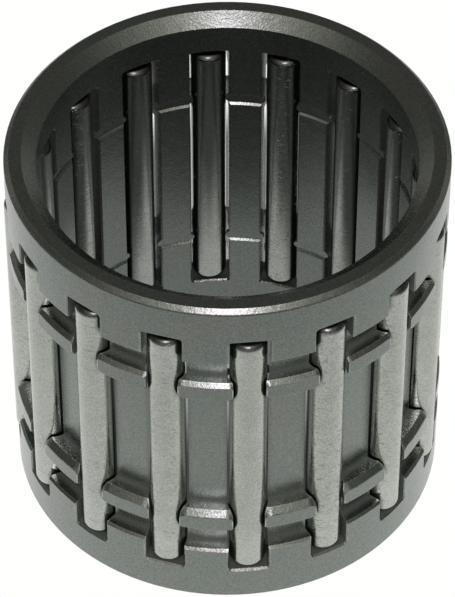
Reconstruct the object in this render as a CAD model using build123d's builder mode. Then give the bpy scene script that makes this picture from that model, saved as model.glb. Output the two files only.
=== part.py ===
"""Needle roller and cage assembly that runs between a 20 mm pin and a 24 mm eye: one cage, sixteen needle rollers.

Frame: millimetres, +Z along the bearing's axis, origin on the axis at mid-width. The first needle is on +X.
The cage is the same at both ends, so axial places on it are depths measured from the nearer end face.
"""

from build123d import *

import os
from math import asin, cos, hypot, sin, sqrt

# ---- Driving dimensions -------------------------------------------------------------------------------------

pin_diameter = 20.0  # inner raceway: the circle that the needles leave free
eye_diameter = 24.0  # outer raceway: the circle that the needles touch from inside
width = 23.0  # cage, end face to end face
needle_count = 16
needle_length = 17.7
needle_corner = 0.38

# Cage, radii
outer_radius = 11.9  # rims and ridges
bore_radius = 10.19
groove_radius = 11.10  # floor of the grooves between rims and ridges
web_radius = 10.85  # outside of the bars between the ridges
staking_radius = 10.31  # floor of the two staking grooves in the bore

# Cage, depths from an end face
rim_depth = 4.06
ridge_wall_depth = 5.58
ridge_top_end = 6.74
staking_depth = 6.06  # middle of a staking groove

# Cage, edge breaks and corners
end_chamfer = 0.26
lead_in_radial = 0.77
lead_in_axial = 0.61
end_edge_radius = 0.15  # between the end chamfer and the rim
rim_chamfer = 0.14  # rim edge on the groove side
ridge_chamfer = 0.22  # ridge edge on the groove side
ridge_slope = 0.34  # ridge edge on the web side
ridge_edge_radius = 0.10  # between a ridge's top and its slope
staking_width = 0.75  # staking groove, edge to edge
bore_break = 0.08  # pockets' edges in the bore
mouth_break = 0.08  # where a pocket opens through a rim

# Pockets
pocket_width = 2.20
pocket_length = 18.2
pocket_corner = 0.15

# Lips that keep the needles in: outer ones at the ridges' ends, inner ones at the staking grooves' ends
outer_lip_reach = 0.23  # past the pocket's wall
inner_lip_reach = 0.19
inner_lip_rounding = 0.20
inner_lip_ceiling = 10.5  # radius at which an inner lip ends inside the pocket
lip_corner_web_side = 0.40  # rounding of a ridge's end
lip_corner_groove_side = 0.20
lip_bevel_depth = 0.55  # radial depth of the 45 degree bevel below the rounding

# ---- Sizes worked out from the above ------------------------------------------------------------------------

half_width = width / 2
half_pocket = pocket_width / 2
needle_radius = (eye_diameter - pin_diameter) / 4
pitch_radius = (eye_diameter + pin_diameter) / 4
staking_wall = staking_radius - bore_radius  # a staking groove's walls are at 45 degrees
ridge_top_start = ridge_wall_depth + ridge_chamfer
web_start = ridge_top_end + ridge_slope
lip_tip = half_pocket - outer_lip_reach  # from the pocket's middle plane
tool_start = bore_radius - 1  # pocket tools begin inside the bore and end outside the rims
tool_end = outer_radius + 1
mouth_start = sqrt(outer_radius**2 - half_pocket**2) - mouth_break  # where the pocket tool begins to flare
tool_mouth_half_width = half_pocket + tool_end - mouth_start
both_signs = (-1, 1)
clearance = 0.1  # how far a cutting tool stands past the surface that it cuts
tolerance = 0.01  # for picking edges by radius


def height(depth):
    """Z of a place this far below the upper end face."""
    return half_width - depth


# ---- Pocket tool, for a pocket on the +X axis ---------------------------------------------------------------
# A radial slot less its outer and inner lips. The lips are hollowed round the needle's path.

with BuildPart() as pocket_tool:
    with BuildSketch(Plane.YZ.offset(tool_start)):
        RectangleRounded(pocket_width, pocket_length, pocket_corner)
    extrude(amount=mouth_start - tool_start)
    extrude(faces().sort_by(Axis.X)[-1], amount=tool_end - mouth_start, taper=-45)

    ridge_span = web_start - ridge_wall_depth
    with BuildSketch(Plane.YZ.offset(pitch_radius)):
        for end in both_signs:
            for side in both_signs:
                with Locations((side * tool_mouth_half_width, end * height(ridge_wall_depth + ridge_span / 2))):
                    Rectangle(2 * (tool_mouth_half_width - lip_tip), ridge_span)
    extrude(amount=tool_end - pitch_radius, mode=Mode.SUBTRACT)

    inner_lip_middle = half_pocket + inner_lip_rounding - inner_lip_reach
    with BuildSketch(Plane.YZ.offset(tool_start)):
        for end in both_signs:
            for side in both_signs:
                with Locations((side * inner_lip_middle, end * height(staking_depth))):
                    Circle(inner_lip_rounding)
    extrude(amount=inner_lip_ceiling - tool_start, mode=Mode.SUBTRACT)

    with Locations((pitch_radius, 0, 0)):
        Cylinder(half_pocket, pocket_length)


# ---- Ridge end tool, for the ridge ends beside a pocket on the +X axis --------------------------------------
# Each piece is a quarter ring round a radial axis. It rounds a ridge's corner at the ridge's top and bevels it
# at 45 degrees below, so that the ridge's chamfer and slope carry on round the end.

with BuildPart() as ridge_end_tool:
    for rounding, centre_depth, axial_sign in (
        (lip_corner_web_side, ridge_top_end - lip_corner_web_side, -1),
        (lip_corner_groove_side, ridge_top_start + lip_corner_groove_side, 1),
    ):
        axis_angle = asin(lip_tip / outer_radius) + rounding / outer_radius
        radial = Vector(cos(axis_angle), sin(axis_angle), 0)
        tangential = Vector(-sin(axis_angle), cos(axis_angle), 0)
        centre = radial * outer_radius + Vector(0, 0, height(centre_depth))
        section_plane = Plane(origin=centre, x_dir=(0, 0, axial_sign), z_dir=tangential * axial_sign)
        with BuildSketch(section_plane):
            with BuildLine():
                Polyline(
                    (rounding - clearance, clearance),
                    (rounding + lip_bevel_depth + clearance, clearance),
                    (rounding + lip_bevel_depth + clearance, -lip_bevel_depth),
                    (rounding + lip_bevel_depth, -lip_bevel_depth),
                    close=True,
                )
            make_face()
        revolve(axis=Axis(centre, radial * axial_sign), revolution_arc=90)
    mirror(about=Plane.XZ)
    mirror(about=Plane.XY)

# ---- Cage ---------------------------------------------------------------------------------------------------


def upper_half_of_wall():
    """Corner points (r, z) of the wall above mid-width: up the outside, over the end face and down the bore."""
    return [
        (web_radius, 0),
        (web_radius, height(web_start)),
        (outer_radius - ridge_slope, height(web_start)),
        (outer_radius, height(ridge_top_end)),
        (outer_radius, height(ridge_top_start)),
        (outer_radius - ridge_chamfer, height(ridge_wall_depth)),
        (groove_radius, height(ridge_wall_depth)),
        (groove_radius, height(rim_depth)),
        (outer_radius - rim_chamfer, height(rim_depth)),
        (outer_radius, height(rim_depth - rim_chamfer)),
        (outer_radius, height(end_chamfer)),
        (outer_radius - end_chamfer, height(0)),
        (bore_radius + lead_in_radial, height(0)),
        (bore_radius, height(lead_in_axial)),
        (bore_radius, height(staking_depth - staking_width / 2)),
        (staking_radius, height(staking_depth - staking_width / 2 + staking_wall)),
        (staking_radius, height(staking_depth + staking_width / 2 - staking_wall)),
        (bore_radius, height(staking_depth + staking_width / 2)),
        (bore_radius, 0),
    ]


def section_corner(sketch, radius, depth):
    """The section's corner nearest this place, in the sketch's own frame."""
    return sketch.vertices().sort_by_distance((radius, height(depth)))[0]


def pocket_edges(part, radius):
    """The part's straight axial edges at this radius, within the pockets' length."""
    axial = part.edges().filter_by(Axis.Z).filter_by(lambda edge: abs(edge.center().Z) < pocket_length / 2)
    return axial.filter_by(lambda edge: abs(hypot(edge.center().X, edge.center().Y) - radius) < tolerance)


with BuildPart() as cage:
    with BuildSketch(Plane.XZ) as wall_section:
        with BuildLine():
            Polyline(*upper_half_of_wall(), close=True)
        make_face()
        for radius, depth, corner_radius in (
            (outer_radius, end_chamfer, end_edge_radius),
            (outer_radius, ridge_top_end, ridge_edge_radius),
        ):
            fillet(section_corner(wall_section, radius, depth), corner_radius)
        mirror(about=Plane.XZ)  # in the sketch's own frame, so this copies the upper half to the lower
    revolve(axis=Axis.Z)
    with PolarLocations(0, needle_count):
        add(pocket_tool.part, mode=Mode.SUBTRACT)
        add(ridge_end_tool.part, mode=Mode.SUBTRACT)
    chamfer(pocket_edges(cage, bore_radius), bore_break)

cage.part.label = "cage"

# ---- Needle, on the axis and centred on the origin ----------------------------------------------------------

with BuildPart() as needle:
    Cylinder(needle_radius, needle_length)
    fillet(needle.edges().filter_by(GeomType.CIRCLE), needle_corner)

# ---- Export -------------------------------------------------------------------------------------------------

os.makedirs("parts", exist_ok=True)
export_step(cage.part, "parts/cage.step")

for number, place in enumerate(PolarLocations(pitch_radius, needle_count), start=1):
    roller = place * needle.part
    roller.label = f"needle_roller_{number:02d}"
    export_step(roller, f"parts/{roller.label}.step")
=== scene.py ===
"""Looks and stage for a needle roller and cage assembly: two steels, a pale floor, a lamp and a camera.

The frame is in metres, with the bearing's axis on Z. Textures are drawn in millimetres of each object's
own space, so they ride with the piece.
"""

import math

import bpy
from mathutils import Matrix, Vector


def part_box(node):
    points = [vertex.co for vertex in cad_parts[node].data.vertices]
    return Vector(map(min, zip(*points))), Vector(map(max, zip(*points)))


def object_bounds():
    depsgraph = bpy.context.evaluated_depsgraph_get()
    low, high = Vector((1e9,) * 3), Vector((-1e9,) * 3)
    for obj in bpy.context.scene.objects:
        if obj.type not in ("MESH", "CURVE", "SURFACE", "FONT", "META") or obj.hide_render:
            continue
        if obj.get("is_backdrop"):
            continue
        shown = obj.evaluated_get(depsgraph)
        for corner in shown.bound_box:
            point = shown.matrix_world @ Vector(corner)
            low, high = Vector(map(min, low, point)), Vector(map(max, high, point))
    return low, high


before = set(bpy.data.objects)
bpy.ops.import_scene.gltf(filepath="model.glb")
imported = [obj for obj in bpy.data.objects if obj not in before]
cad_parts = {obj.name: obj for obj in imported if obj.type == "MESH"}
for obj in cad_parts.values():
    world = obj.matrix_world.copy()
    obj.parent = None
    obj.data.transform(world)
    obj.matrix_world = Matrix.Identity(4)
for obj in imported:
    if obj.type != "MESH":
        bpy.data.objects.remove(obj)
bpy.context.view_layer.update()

# ---- Driving values: the part --------------------------------------------------------------------

MM = 0.001

CAGE = "cage"
NEEDLES = [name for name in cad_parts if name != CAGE]
CAGE_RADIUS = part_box(CAGE)[1].x
RIM_MM = CAGE_RADIUS / MM
NEEDLE_END_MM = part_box(NEEDLES[0])[1].z / MM
LOWEST, HIGHEST = (Vector(corner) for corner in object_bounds())
CENTRE = (LOWEST + HIGHEST) / 2

# ---- Driving values: the steels ------------------------------------------------------------------
# A texture's cells are per millimetre. A span is the part of a texture's range that does something.

COMMON_SPAN = (0.35, 0.65)
WIDE_SPAN = (0.30, 0.70)

# Painted shade: steel darkened to a dull tint where the surroundings close in, in corners and narrow gaps
CREVICE_REACH = 0.60 * MM
CREVICE_SPAN = (0.88, 0.50)  # share of open surroundings, from no painted shade to full painted shade
CREVICE_SHADE_TINT = (0.15, 0.18, 0.15)

CAGE_TINT = (0.292, 0.340, 0.308)
CAGE_WARM_TINT = (0.314, 0.336, 0.308)
CAGE_SPECKLE_TINT = (0.10, 0.11, 0.10)
CAGE_WORN_TINT = (0.92, 0.94, 0.91)
CAGE_SPECKLE = 0.45  # how far the darkest speckle goes towards its tint
CAGE_ROUGHNESS = (0.20, 0.30)
CAGE_EDGE_RADIUS = 0.03 * MM

CAGE_GRAIN_CELLS = 8.0
CAGE_SPECKLE_CELLS = 11.0
CAGE_WAVE_CELLS = 1.6
CAGE_PATCH_CELLS = 0.35
CAGE_TURNING_CELLS = (0.4, 0.4, 22.0)
CAGE_GRAIN_HEIGHT = 0.012 * MM
CAGE_WAVE_HEIGHT = 0.010 * MM
CAGE_TURNING_HEIGHT = 0.0015 * MM
CAGE_TURNING_STRENGTH = 0.5

OIL_COAT = 0.5  # a thin film of oil, left off where crevice shade is painted
OIL_ROUGHNESS = 0.2
BORE_CREVICE_SHADE_TINT = (0.05, 0.055, 0.05)
BORE_CREVICE_SHADE_RADII = (RIM_MM - 1.6, RIM_MM - 1.0)  # from the bore's darker painted shade to the painted shade outside

WEAR_REACH = 0.08 * MM
WEAR_EDGE_SPAN = (0.92, 0.74)  # share of solid surroundings, from flat to a sharp edge
WEAR_WAVE_SPAN = (0.35, 0.60)
WEAR_UNEVEN = (0.15, 0.55)
WEAR_RADII = (RIM_MM - 0.9, RIM_MM - 0.5)  # from the bars to the rims and ridges, which rub on the eye
WEAR_AT_RADII = (0.15, 1.3)

NEEDLE_TINT = (0.700, 0.740, 0.685)
NEEDLE_MARK_TINT = (0.36, 0.38, 0.34)
NEEDLE_END_TINT = (0.14, 0.145, 0.15)
NEEDLE_ROUGHNESS = (0.10, 0.20)
NEEDLE_ROUGHNESS_SPAN = (0.35, 0.70)
NEEDLE_END_ROUGHNESS = 0.20
NEEDLE_END_ZONE = (NEEDLE_END_MM - 0.27, NEEDLE_END_MM - 0.18)  # where the dull end begins on the corner

NEEDLE_SMUDGE_CELLS = 0.9
NEEDLE_GRAIN_CELLS = 11.0
NEEDLE_SPECKLE_CELLS = 10.0
NEEDLE_RING_CELLS = (0.5, 0.5, 9.0)
NEEDLE_SCRATCH_CELLS = (7.0, 7.0, 0.5)
NEEDLE_PIT_CELLS = (3.0, 3.0, 7.0)
NEEDLE_TEXTURE_HEIGHT = 0.005 * MM

NEEDLE_SMUDGED = 0.15
NEEDLE_SPECKLED = 0.40
NEEDLE_MIDDLE_DARKENING = 0.16  # how much darker the middle of a needle is than its ends
NEEDLE_MIDDLE_EDGE = (5.0, 7.0)  # distance from mid-width, in millimetres, over which the darker middle fades
NEEDLE_SCUFFED = 0.4  # marks round a needle, most of them where the cage's lips rub
NEEDLE_SCUFF_SPAN = (0.60, 0.68)
NEEDLE_LIP_ZONE = (4.0, 5.5)
NEEDLE_SCUFF_AT_LIPS = (0.15, 1.0)
NEEDLE_PITTED = 0.7
NEEDLE_PIT_STARTS = (0.68, 0.59)  # from the cleanest needle to the most pitted
NEEDLE_PIT_DEPTH = 0.05
NEEDLE_PIT_RELIEF = 2.0  # depth of a pit beside the height of the other textures

# ---- Driving values: floor, room, lamp and camera ------------------------------------------------

WHITE = (1.0, 1.0, 1.0)
SEEN = 1.0  # brightness of the floor and room to the eye; in the steel they are dimmer

CAMERA_AZIMUTH = math.radians(-5.65)
CAMERA_ELEVATION = math.radians(46.5)
CAMERA_DISTANCE = 17.43 * CAGE_RADIUS
CAMERA_CLIP = CAMERA_DISTANCE / 50
CAMERA_LENS = 226.5  # millimetres, on the default 36 mm sensor

FLOOR_SIZE = 4.0
FLOOR_TINT = (1.0, 1.0, 0.985)
FLOOR_REFLECTED = 0.72
FLOOR_REACH = 47 * MM  # distance from the axis at which the reflected floor has half its brightness
FLOOR_NEAR_TO_FAR = (0.98, 1.42)  # from the camera's side of the part to the far side

# The part's own shade on the floor, behind it: a strip with a round end and a soft edge
SHADE_SEEN = 0.15
SHADE_LENGTH = 16.6 * MM
SHADE_CORE = 8.0 * MM
SHADE_EDGE = CAGE_RADIUS

# The floor inside the bore: dark, with a lighter patch on the far side, lit from the bore's wall
BORE_FLOOR_RADIUS = 11.0 * MM
BORE_FLOOR_DIM = 0.06
BORE_FLOOR_LIT = 0.41
BORE_FLOOR_LIT_AWAY = (-2.0 * MM, 5.5 * MM)
BORE_FLOOR_LIT_SIDEWAYS = (3.0 * MM, 9.0 * MM)
BORE_FLOOR_LIT_AT_SIDE = 0.3

ROOM_TINT = (1.0, 0.97, 0.89)
ROOM_REFLECTED = 0.105
HORIZON_REFLECTED = 0.42  # brightness of the room low down, behind the floor
HORIZON_TOP = 0.3  # sine of the elevation at which the horizon's brightness ends

LAMP_TINT = (1.0, 0.86, 1.03)
LAMP_ELEVATION = math.radians(50)
LAMP_DISTANCE = 0.25
LAMP_WIDTH = 0.08
LAMP_HEIGHT = 0.125
LAMP_RADIANCE = 6.0
GLOW_TINT = (1.0, 0.94, 0.80)
GLOW = 0.85  # brightness of the room close round the lamp
GLOW_REACH = math.radians(70)
GLOW_SHARPNESS = 3.0

# ---- Node helpers --------------------------------------------------------------------------------


def plug(tree, socket, value):
    """Sets a node's input: links a socket, or writes a number, a vector or a colour."""
    if isinstance(value, bpy.types.NodeSocket):
        tree.links.new(value, socket)
    elif socket.type == "RGBA":
        socket.default_value = (*value, 1.0)
    else:
        socket.default_value = value


def node(tree, kind, inputs=None, **settings):
    """A node of this kind, with its properties and its inputs set."""
    made = tree.nodes.new(kind)
    for name, value in settings.items():
        setattr(made, name, value)
    for name, value in (inputs or {}).items():
        plug(tree, made.inputs[name], value)
    return made


def calculate(tree, operation, first, second=0.0):
    return node(tree, "ShaderNodeMath", {0: first, 1: second}, operation=operation).outputs[0]


def combined(tree, operation, values):
    """All the values added up or multiplied together."""
    result = values[0]
    for value in values[1:]:
        result = calculate(tree, operation, result, value)
    return result


def remap(tree, value, span, to_low=0.0, to_high=1.0, smooth=False):
    """The value's span stretched to the new one, and clamped."""
    low, high = span
    inputs = {"Value": value, "From Min": low, "From Max": high, "To Min": to_low, "To Max": to_high}
    shape = "SMOOTHSTEP" if smooth else "LINEAR"
    return node(tree, "ShaderNodeMapRange", inputs, interpolation_type=shape).outputs["Result"]


def mix_number(tree, factor, first, second):
    return node(tree, "ShaderNodeMix", {0: factor, 2: first, 3: second}).outputs[0]


def mix_colour(tree, factor, first, second):
    return node(tree, "ShaderNodeMix", {0: factor, 6: first, 7: second}, data_type="RGBA").outputs[2]


def stretched(tree, place, scale):
    """A place with each axis scaled by its own amount."""
    return node(tree, "ShaderNodeVectorMath", {0: place, 1: scale}, operation="MULTIPLY").outputs[0]


def length(tree, vector):
    return node(tree, "ShaderNodeVectorMath", {0: vector}, operation="LENGTH").outputs["Value"]


def distance_along(tree, vector, heading):
    """How far a vector goes in this heading."""
    made = node(tree, "ShaderNodeVectorMath", {0: vector, 1: heading}, operation="DOT_PRODUCT")
    return made.outputs["Value"]


def distance_from_axis(tree, place):
    return length(tree, stretched(tree, place, (1.0, 1.0, 0.0)))


def distance_from_mid_width(tree, place):
    along_axis = node(tree, "ShaderNodeSeparateXYZ", {0: place}).outputs["Z"]
    return calculate(tree, "ABSOLUTE", along_axis)


def noise(tree, place, cells, detail=2.0, roughness=0.5):
    """Noise from 0 to 1, with this many cells per unit of place, or a number of cells for each axis."""
    if isinstance(cells, tuple):
        place = stretched(tree, place, cells)
        cells = 1.0
    inputs = {"Vector": place, "Scale": cells, "Detail": detail, "Roughness": roughness}
    return node(tree, "ShaderNodeTexNoise", inputs).outputs["Fac"]


def bump(tree, height, distance, normal=None, strength=1.0):
    """A normal tilted by a height texture, on top of another normal."""
    inputs = {"Strength": strength, "Distance": distance, "Height": height}
    if normal is not None:
        inputs["Normal"] = normal
    return node(tree, "ShaderNodeBump", inputs).outputs["Normal"]


def millimetres(tree):
    """The object's own coordinates, in millimetres."""
    place = node(tree, "ShaderNodeTexCoord").outputs["Object"]
    return stretched(tree, place, (1 / MM,) * 3)


def to_the_eye(tree):
    """1 where the camera looks straight at a thing, 0 where the thing is mirrored or lights another."""
    return node(tree, "ShaderNodeLightPath").outputs["Is Camera Ray"]


def new_material(name):
    """An empty node material and its node tree."""
    material = bpy.data.materials.new(name)
    material.use_nodes = True
    material.node_tree.nodes.clear()
    return material, material.node_tree


def finish_surface(tree, shader):
    node(tree, "ShaderNodeOutputMaterial", {"Surface": shader})


def assign(obj, material):
    obj.data.materials.clear()
    obj.data.materials.append(material)


# ---- Steels --------------------------------------------------------------------------------------


def crevices(tree):
    """Mask of painted shade: 1 in corners and narrow gaps, fading to 0 in the open."""
    inputs = {"Distance": CREVICE_REACH}
    openness = node(tree, "ShaderNodeAmbientOcclusion", inputs, samples=8).outputs["AO"]
    return remap(tree, openness, CREVICE_SPAN)


def sharp_edges(tree):
    """1 along sharp outward edges, fading to 0 on the flat."""
    inputs = {"Distance": WEAR_REACH}
    solidity = node(tree, "ShaderNodeAmbientOcclusion", inputs, inside=True, samples=8).outputs["AO"]
    return remap(tree, solidity, WEAR_EDGE_SPAN)


def cage_wear(tree, radius, waves, unshaded):
    """How far the surface is worn bright: unevenly, and mostly along the edges of the rims and ridges."""
    uneven = remap(tree, waves, WEAR_WAVE_SPAN, *WEAR_UNEVEN)
    outside = remap(tree, radius, WEAR_RADII, *WEAR_AT_RADII)
    return combined(tree, "MULTIPLY", [sharp_edges(tree), uneven, unshaded, outside])


def cage_colour(tree, place, waves, shade_in_crevices, unshaded):
    """Grey-green steel in two tones with dark speckle, painted shade in the crevices, and worn edges over
    all.
    """
    patches = noise(tree, place, CAGE_PATCH_CELLS)
    speckle = noise(tree, place, CAGE_SPECKLE_CELLS, detail=1.0)
    radius = distance_from_axis(tree, place)

    tint = mix_colour(tree, remap(tree, patches, COMMON_SPAN), CAGE_TINT, CAGE_WARM_TINT)
    speckled = remap(tree, speckle, COMMON_SPAN, 0.0, CAGE_SPECKLE)
    dulled = mix_colour(tree, speckled, tint, CAGE_SPECKLE_TINT)
    # Painted shade in the crevices, darker still inside the bore
    crevice_shade_colour = mix_colour(tree, remap(tree, radius, BORE_CREVICE_SHADE_RADII), BORE_CREVICE_SHADE_TINT, CREVICE_SHADE_TINT)
    crevice_shaded = mix_colour(tree, shade_in_crevices, dulled, crevice_shade_colour)
    return mix_colour(tree, cage_wear(tree, radius, waves, unshaded), crevice_shaded, CAGE_WORN_TINT)


def cage_steel():
    """Satin steel with a fine grain, turning marks and slight waves, under a thin film of oil."""
    material, tree = new_material("cage_steel")
    place = millimetres(tree)
    grain = noise(tree, place, CAGE_GRAIN_CELLS, detail=3.0, roughness=0.6)
    turning = noise(tree, place, CAGE_TURNING_CELLS)
    waves = noise(tree, place, CAGE_WAVE_CELLS)
    # Painted shade: in crevices the steel loses its metal and its oil, and turns a dull dark tint
    shade_in_crevices = crevices(tree)
    unshaded = calculate(tree, "SUBTRACT", 1.0, shade_in_crevices)

    rounded = node(tree, "ShaderNodeBevel", {"Radius": CAGE_EDGE_RADIUS}, samples=4).outputs["Normal"]
    wavy = bump(tree, waves, CAGE_WAVE_HEIGHT, rounded)
    turned = bump(tree, turning, CAGE_TURNING_HEIGHT, wavy, CAGE_TURNING_STRENGTH)
    surface = node(
        tree,
        "ShaderNodeBsdfPrincipled",
        {
            "Base Color": cage_colour(tree, place, waves, shade_in_crevices, unshaded),
            "Metallic": unshaded,
            "Roughness": remap(tree, grain, WIDE_SPAN, *CAGE_ROUGHNESS),
            "Normal": bump(tree, grain, CAGE_GRAIN_HEIGHT, turned),
            "Coat Weight": calculate(tree, "MULTIPLY", unshaded, OIL_COAT),
            "Coat Roughness": OIL_ROUGHNESS,
            "Coat Normal": wavy,
        },
    )
    finish_surface(tree, surface.outputs["BSDF"])
    return material


def needle_pits(tree, place):
    """Short dark pits, from 0 to how pitted a needle gets: each needle has its own share of them."""
    which = node(tree, "ShaderNodeObjectInfo").outputs["Random"]
    pits = noise(tree, place, NEEDLE_PIT_CELLS, detail=3.0, roughness=0.7)
    start = remap(tree, which, (0.0, 1.0), *NEEDLE_PIT_STARTS)
    depth = calculate(tree, "SUBTRACT", pits, start)
    return remap(tree, depth, (0.0, NEEDLE_PIT_DEPTH), 0.0, NEEDLE_PITTED)


def needle_dulling(tree, place, smudges, rings, from_middle):
    """How dulled the surface is by smudges, speckle and scuffs, and how much darker its middle is."""
    speckle = noise(tree, place, NEEDLE_SPECKLE_CELLS, detail=1.0)
    near_lips = remap(tree, from_middle, NEEDLE_LIP_ZONE, *NEEDLE_SCUFF_AT_LIPS)
    scuffs = remap(tree, rings, NEEDLE_SCUFF_SPAN, 0.0, NEEDLE_SCUFFED)
    return combined(
        tree,
        "ADD",
        [
            remap(tree, smudges, WIDE_SPAN, 0.0, NEEDLE_SMUDGED),
            remap(tree, speckle, COMMON_SPAN, 0.0, NEEDLE_SPECKLED),
            remap(tree, from_middle, NEEDLE_MIDDLE_EDGE, NEEDLE_MIDDLE_DARKENING, 0.0),
            calculate(tree, "MULTIPLY", scuffs, near_lips),
        ],
    )


def needle_steel():
    """Ground and polished steel: rings from grinding, scratches along the needle, pits, and duller ends."""
    material, tree = new_material("needle_steel")
    place = millimetres(tree)
    smudges = noise(tree, place, NEEDLE_SMUDGE_CELLS, detail=3.0)
    rings = noise(tree, place, NEEDLE_RING_CELLS, detail=3.0, roughness=0.6)
    scratches = noise(tree, place, NEEDLE_SCRATCH_CELLS)
    grain = noise(tree, place, NEEDLE_GRAIN_CELLS)
    pits = needle_pits(tree, place)
    from_middle = distance_from_mid_width(tree, place)
    end = remap(tree, from_middle, NEEDLE_END_ZONE)

    dulling = needle_dulling(tree, place, smudges, rings, from_middle)
    colour = mix_colour(tree, dulling, NEEDLE_TINT, NEEDLE_MARK_TINT)
    colour = mix_colour(tree, pits, colour, NEEDLE_MARK_TINT)
    colour = mix_colour(tree, end, colour, NEEDLE_END_TINT)
    # Painted shade where a needle lies close to the pocket walls
    colour = mix_colour(tree, crevices(tree), colour, CREVICE_SHADE_TINT)
    smudged_roughness = remap(tree, smudges, NEEDLE_ROUGHNESS_SPAN, *NEEDLE_ROUGHNESS)

    raised = combined(tree, "ADD", [rings, scratches, grain])
    texture = calculate(tree, "SUBTRACT", raised, calculate(tree, "MULTIPLY", pits, NEEDLE_PIT_RELIEF))
    surface = node(
        tree,
        "ShaderNodeBsdfPrincipled",
        {
            "Base Color": colour,
            "Metallic": 1.0,
            "Roughness": mix_number(tree, end, smudged_roughness, NEEDLE_END_ROUGHNESS),
            "Normal": bump(tree, texture, NEEDLE_TEXTURE_HEIGHT),
        },
    )
    finish_surface(tree, surface.outputs["BSDF"])
    return material


# ---- Floor ---------------------------------------------------------------------------------------


def direction(azimuth, elevation):
    """Unit vector from the object's centre towards this view."""
    level = math.cos(elevation)
    return Vector((math.sin(azimuth) * level, -math.cos(azimuth) * level, math.sin(elevation)))


def floor_to_the_eye(tree, away, sideways):
    """White, but for the part's own shade behind it."""
    along_strip = remap(tree, away, (0.0, SHADE_LENGTH), 0.0, SHADE_LENGTH)
    past_strip = calculate(tree, "SUBTRACT", away, along_strip)
    from_strip = node(tree, "ShaderNodeCombineXYZ", {0: past_strip, 1: sideways}).outputs["Vector"]
    return remap(tree, length(tree, from_strip), (SHADE_CORE, SHADE_EDGE), SHADE_SEEN, SEEN, smooth=True)


def floor_in_the_steel(tree, from_axis, away):
    """Lit by a lamp near the camera: it fades with distance, and is brighter on the far side."""
    spread = calculate(tree, "POWER", calculate(tree, "DIVIDE", from_axis, FLOOR_REACH), 2.0)
    faded = calculate(tree, "DIVIDE", FLOOR_REFLECTED, calculate(tree, "ADD", spread, 1.0))
    side = calculate(tree, "DIVIDE", away, from_axis)
    return calculate(tree, "MULTIPLY", faded, remap(tree, side, (-1.0, 1.0), *FLOOR_NEAR_TO_FAR))


def floor_in_the_bore(tree, away, sideways):
    far_side = remap(tree, away, BORE_FLOOR_LIT_AWAY, smooth=True)
    middle = remap(tree, sideways, BORE_FLOOR_LIT_SIDEWAYS, 1.0, BORE_FLOOR_LIT_AT_SIDE, smooth=True)
    lit = calculate(tree, "MULTIPLY", far_side, middle)
    return mix_number(tree, lit, BORE_FLOOR_DIM, BORE_FLOOR_LIT)


def floor_material():
    """A pale floor that glows: white to the eye, dimmer in the steel, and darker still inside the bore."""
    material, tree = new_material("pale_floor")
    place = node(tree, "ShaderNodeNewGeometry").outputs["Position"]
    from_axis = distance_from_axis(tree, place)
    away = distance_along(tree, place, -direction(CAMERA_AZIMUTH, 0))
    across = distance_along(tree, place, direction(CAMERA_AZIMUTH + math.pi / 2, 0))
    sideways = calculate(tree, "ABSOLUTE", across)

    reflected = floor_in_the_steel(tree, from_axis, away)
    outside = mix_number(tree, to_the_eye(tree), reflected, floor_to_the_eye(tree, away, sideways))
    in_bore = calculate(tree, "LESS_THAN", from_axis, BORE_FLOOR_RADIUS)
    strength = mix_number(tree, in_bore, outside, floor_in_the_bore(tree, away, sideways))
    glow = node(tree, "ShaderNodeEmission", {"Color": FLOOR_TINT, "Strength": strength})
    finish_surface(tree, glow.outputs["Emission"])
    return material


def add_floor():
    bpy.ops.mesh.primitive_plane_add(size=FLOOR_SIZE, location=(0, 0, LOWEST.z))
    floor = bpy.context.object
    floor.name = "floor"
    assign(floor, floor_material())
    floor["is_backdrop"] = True


# ---- Room, lamp and camera -----------------------------------------------------------------------


def add_object(name, data, view, distance):
    """An object at this distance in this direction from the part's centre, looking at it."""
    obj = bpy.data.objects.new(name, data)
    obj.location = CENTRE + view * distance
    obj.rotation_euler = (-view).to_track_quat("-Z", "Y").to_euler()
    bpy.context.scene.collection.objects.link(obj)
    return obj


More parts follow.
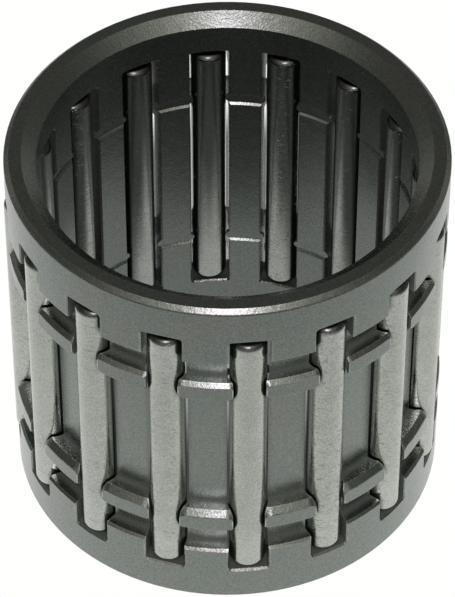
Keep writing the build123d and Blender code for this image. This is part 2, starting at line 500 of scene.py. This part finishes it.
def add_soft_lamp():
    """An oval softbox by the camera."""
    data = bpy.data.lights.new("lamp", "AREA")
    data.shape = "ELLIPSE"
    data.size = LAMP_WIDTH
    data.size_y = LAMP_HEIGHT
    area = math.pi / 4 * LAMP_WIDTH * LAMP_HEIGHT
    data.energy = LAMP_RADIANCE * math.pi * area
    data.color = LAMP_TINT
    add_object("lamp", data, direction(CAMERA_AZIMUTH, LAMP_ELEVATION), LAMP_DISTANCE)


def add_camera():
    data = bpy.data.cameras.new("camera")
    data.lens = CAMERA_LENS
    data.clip_start = CAMERA_CLIP
    view = direction(CAMERA_AZIMUTH, CAMERA_ELEVATION)
    bpy.context.scene.camera = add_object("camera", data, view, CAMERA_DISTANCE)


def set_room():
    """A plain room: white to the eye; in the steel dim and warm, brighter low down and round the lamp."""
    world = bpy.data.worlds.new("room")
    world.use_nodes = True
    tree = world.node_tree
    towards = node(tree, "ShaderNodeTexCoord").outputs["Generated"]
    elevation_sine = node(tree, "ShaderNodeSeparateXYZ", {0: towards}).outputs["Z"]
    towards_lamp = distance_along(tree, towards, direction(CAMERA_AZIMUTH, LAMP_ELEVATION))
    glow = remap(tree, towards_lamp, (math.cos(GLOW_REACH), 1.0))
    glow = calculate(tree, "POWER", glow, GLOW_SHARPNESS)
    plain = remap(tree, elevation_sine, (0.0, HORIZON_TOP), HORIZON_REFLECTED, ROOM_REFLECTED, smooth=True)
    reflected = mix_number(tree, glow, plain, GLOW)
    tint = mix_colour(tree, glow, ROOM_TINT, GLOW_TINT)

    seen = to_the_eye(tree)
    background = tree.nodes["Background"]
    plug(tree, background.inputs["Color"], mix_colour(tree, seen, tint, WHITE))
    plug(tree, background.inputs["Strength"], mix_number(tree, seen, reflected, SEEN))
    bpy.context.scene.world = world


# ---- The scene -----------------------------------------------------------------------------------

assign(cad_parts[CAGE], cage_steel())
polished = needle_steel()
for name in NEEDLES:
    assign(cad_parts[name], polished)

add_floor()
set_room()
add_soft_lamp()
add_camera()
bpy.context.scene.view_settings.view_transform = "Standard"
